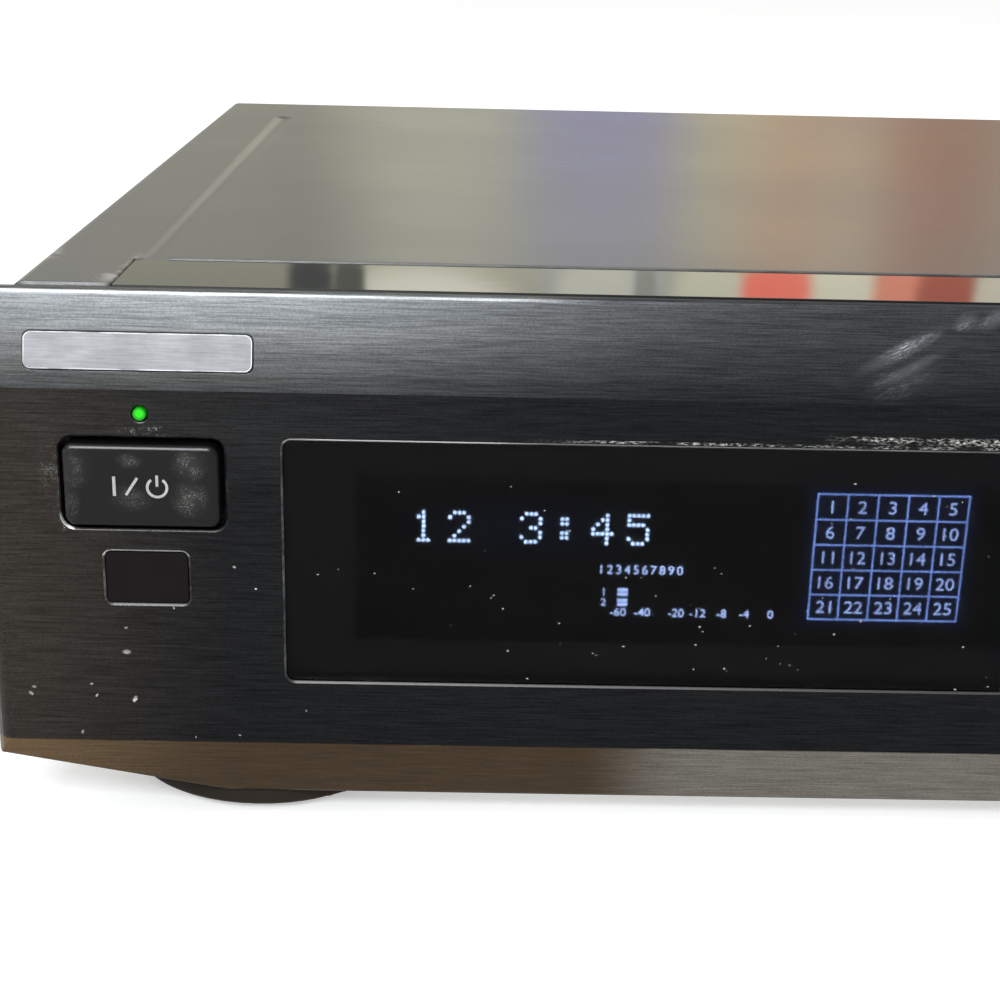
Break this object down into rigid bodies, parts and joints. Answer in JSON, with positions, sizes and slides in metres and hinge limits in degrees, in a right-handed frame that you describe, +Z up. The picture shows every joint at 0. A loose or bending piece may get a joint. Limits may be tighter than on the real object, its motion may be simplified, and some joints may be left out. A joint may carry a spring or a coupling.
{
  "type": "minidisc deck",
  "caption": "Full-width component minidisc deck with a brushed black front, a smoked display window, a disc slot with its loading mechanism, keys, knobs and rear sockets.",
  "frame": {"origin": "on the table, under the centre of the overall box", "axes": "+X to the right as seen from the front, +Y to the back, +Z up"},
  "size_m": [0.43, 0.285, 0.095],
  "materials": {
    "fascia_brushed": "brushed black anodised metal, satin",
    "frame_plastic": "moulded black plastic, glossy on its visible top flange",
    "window_smoke": "smoked acrylic window, glossy",
    "badge_satin": "satin plate, left blank",
    "sensor_dark": "dark red-black filter, glossy",
    "led_green": "green lamp lens",
    "cover_paint": "black semi-gloss paint with a fine texture",
    "chassis_zinc": "zinc-plated sheet steel",
    "rear_paint": "black painted sheet steel",
    "screw_black": "blackened steel",
    "foot_plastic": "moulded dark plastic",
    "pad_rubber": "soft black rubber",
    "key_plastic": "satin black plastic",
    "flap_plastic": "black plastic",
    "knob_metal": "black anodised, satin",
    "shaft_steel": "turned steel",
    "rotor_plastic": "natural moulded plastic",
    "pot_case": "pressed steel case",
    "jack_nickel": "nickel-plated brass",
    "switch_black": "black plastic",
    "board_green": "green circuit board",
    "tube_glass": "sealed display tube with its phosphors behind glass",
    "mech_steel": "pressed zinc-plated steel",
    "damper_rubber": "soft rubber",
    "slider_plastic": "white moulded plastic",
    "motor_can": "steel can",
    "sled_metal": "die-cast metal",
    "arm_steel": "spring steel with its head pad",
    "chip_black": "black chip packages",
    "capacitor_sleeve": "dark blue sleeve",
    "sink_aluminium": "extruded",
    "core_steel": "varnished laminations and taped coil",
    "cable_grey": "flat cable, pale",
    "phono_metal": "plated sockets on a black block",
    "socket_black": "black plastic"
  },
  "bodies": {
    "case": {"fascia": "fascia_brushed", "front_frame": "frame_plastic", "window_panel": "window_smoke", "badge_plate": "badge_satin", "remote_sensor_window": "sensor_dark", "power_led": "led_green", "top_cover": "cover_paint", "chassis_base": "chassis_zinc", "rear_panel": "rear_paint", "case_screws": "screw_black", "feet": "foot_plastic", "foot_pads": "pad_rubber", "jog_encoder": "pot_case", "level_pots": "pot_case", "phones_jack": "jack_nickel", "timer_switch": "switch_black", "front_board": "board_green", "front_board_parts": "switch_black", "display_tube": "tube_glass", "mech_bracket": "mech_steel", "mech_chassis": "mech_steel", "mech_dampers": "damper_rubber", "loading_motor": "motor_can", "spindle_motor": "motor_can", "guide_rods": "shaft_steel", "sled_motor": "motor_can", "main_board": "board_green", "board_chips": "chip_black", "power_board": "board_green", "capacitors": "capacitor_sleeve", "heatsink": "sink_aluminium", "transformer": "core_steel", "ribbon_cables": "cable_grey", "phono_jacks": "phono_metal", "optical_jacks": "socket_black", "ac_inlet": "socket_black"},
    "jog_knob": {"jog_knob": "knob_metal", "jog_shaft": "shaft_steel"},
    "rec_level": {"rec_level_knob": "knob_metal", "rec_level_shaft": "shaft_steel"},
    "phones_level": {"phones_level_knob": "knob_metal", "phones_level_shaft": "shaft_steel"},
    "power_button": {"power_button": "key_plastic"},
    "slot_flap": {"slot_flap": "flap_plastic"},
    "eject_button": {"eject_button": "key_plastic"},
    "play_button": {"play_button": "key_plastic"},
    "pause_button": {"pause_button": "key_plastic"},
    "stop_button": {"stop_button": "key_plastic"},
    "rewind_button": {"rewind_button": "key_plastic"},
    "forward_button": {"forward_button": "key_plastic"},
    "record_button": {"record_button": "key_plastic"},
    "jog_rotor": {"jog_rotor": "rotor_plastic"},
    "timer_knob": {"timer_knob": "key_plastic"},
    "loading_slider": {"loading_slider": "slider_plastic"},
    "cartridge_holder": {"cartridge_holder": "mech_steel"},
    "loading_gear": {"loading_gear": "rotor_plastic"},
    "optical_pickup": {"optical_pickup": "sled_metal"},
    "head_arm": {"head_arm": "arm_steel"},
    "lead_screw": {"lead_screw": "shaft_steel"},
    "turntable": {"turntable": "rotor_plastic"}
  },
  "joints": [
    {"name": "power_press", "type": "slide", "parent": "case", "child": "power_button", "axis": [0, 1, 0], "range_m": [0, 0.002], "stiffness_N_per_m": 300, "springref_m": -0.002},
    {"name": "eject_press", "type": "slide", "parent": "case", "child": "eject_button", "axis": [0, 1, 0], "range_m": [0, 0.0008], "stiffness_N_per_m": 500, "springref_m": -0.0008},
    {"name": "play_press", "type": "slide", "parent": "case", "child": "play_button", "axis": [0, 1, 0], "range_m": [0, 0.0008], "stiffness_N_per_m": 500, "springref_m": -0.0008},
    {"name": "pause_press", "type": "slide", "parent": "case", "child": "pause_button", "axis": [0, 1, 0], "range_m": [0, 0.0008], "stiffness_N_per_m": 500, "springref_m": -0.0008},
    {"name": "stop_press", "type": "slide", "parent": "case", "child": "stop_button", "axis": [0, 1, 0], "range_m": [0, 0.0008], "stiffness_N_per_m": 500, "springref_m": -0.0008},
    {"name": "rewind_press", "type": "slide", "parent": "case", "child": "rewind_button", "axis": [0, 1, 0], "range_m": [0, 0.0008], "stiffness_N_per_m": 500, "springref_m": -0.0008},
    {"name": "forward_press", "type": "slide", "parent": "case", "child": "forward_button", "axis": [0, 1, 0], "range_m": [0, 0.0008], "stiffness_N_per_m": 500, "springref_m": -0.0008},
    {"name": "record_press", "type": "slide", "parent": "case", "child": "record_button", "axis": [0, 1, 0], "range_m": [0, 0.0008], "stiffness_N_per_m": 500, "springref_m": -0.0008},
    {"name": "flap_swing", "type": "hinge", "parent": "case", "child": "slot_flap", "pos_m": [0.04, -0.1268, 0.05695], "axis": [1, 0, 0], "range_deg": [0, 75], "stiffness_Nm_per_rad": 0.0006, "springref_deg": -28.65},
    {"name": "jog_turn", "type": "hinge", "parent": "case", "child": "jog_rotor", "pos_m": [0.113, -0.1285, 0.043], "axis": [0, 1, 0], "continuous": true},
    {"name": "jog_press", "type": "slide", "parent": "jog_rotor", "child": "jog_knob", "axis": [0, 1, 0], "range_m": [0, 0.0005], "stiffness_N_per_m": 1500, "springref_m": -0.0005},
    {"name": "rec_level_turn", "type": "hinge", "parent": "case", "child": "rec_level", "pos_m": [0.19, -0.1285, 0.06001], "axis": [0, 1, 0], "range_deg": [-150, 150]},
    {"name": "phones_level_turn", "type": "hinge", "parent": "case", "child": "phones_level", "pos_m": [0.197, -0.1285, 0.027], "axis": [0, 1, 0], "range_deg": [-150, 150]},
    {"name": "timer_slide", "type": "slide", "parent": "case", "child": "timer_knob", "axis": [1, 0, 0], "range_m": [-0.004, 0.004]},
    {"name": "loading_slide", "type": "slide", "parent": "case", "child": "loading_slider", "axis": [0, 1, 0], "range_m": [0, 0.012]},
    {"name": "holder_lower", "type": "slide", "parent": "case", "child": "cartridge_holder", "axis": [0, 0, -1], "range_m": [0, 0.005]},
    {"name": "gear_turn", "type": "hinge", "parent": "case", "child": "loading_gear", "pos_m": [-0.017, -0.0665, 0.04075], "axis": [0, 0, 1], "range_deg": [0, 86]},
    {"name": "sled_move", "type": "slide", "parent": "case", "child": "optical_pickup", "axis": [1, 0, 0], "range_m": [0, 0.0165]},
    {"name": "screw_turn", "type": "hinge", "parent": "case", "child": "lead_screw", "pos_m": [0.044, -0.046, 0.03195], "axis": [1, 0, 0], "range_deg": [0, 1980]},
    {"name": "head_lower", "type": "hinge", "parent": "optical_pickup", "child": "head_arm", "pos_m": [0.083, -0.072, 0.06135], "axis": [0, -1, 0], "range_deg": [0, 18], "stiffness_Nm_per_rad": 0.002, "springref_deg": -11.46},
    {"name": "turntable_spin", "type": "hinge", "parent": "case", "child": "turntable", "pos_m": [0.04, -0.072, 0.04115], "axis": [0, 0, 1], "continuous": true}
  ],
  "couplings": [
    {"joint": "holder_lower", "follows": "loading_slide", "ratio": 0.41667},
    {"joint": "gear_turn", "follows": "loading_slide", "rad_per_m": 125},
    {"joint": "screw_turn", "follows": "sled_move", "rad_per_m": 2094.4}
  ]
}
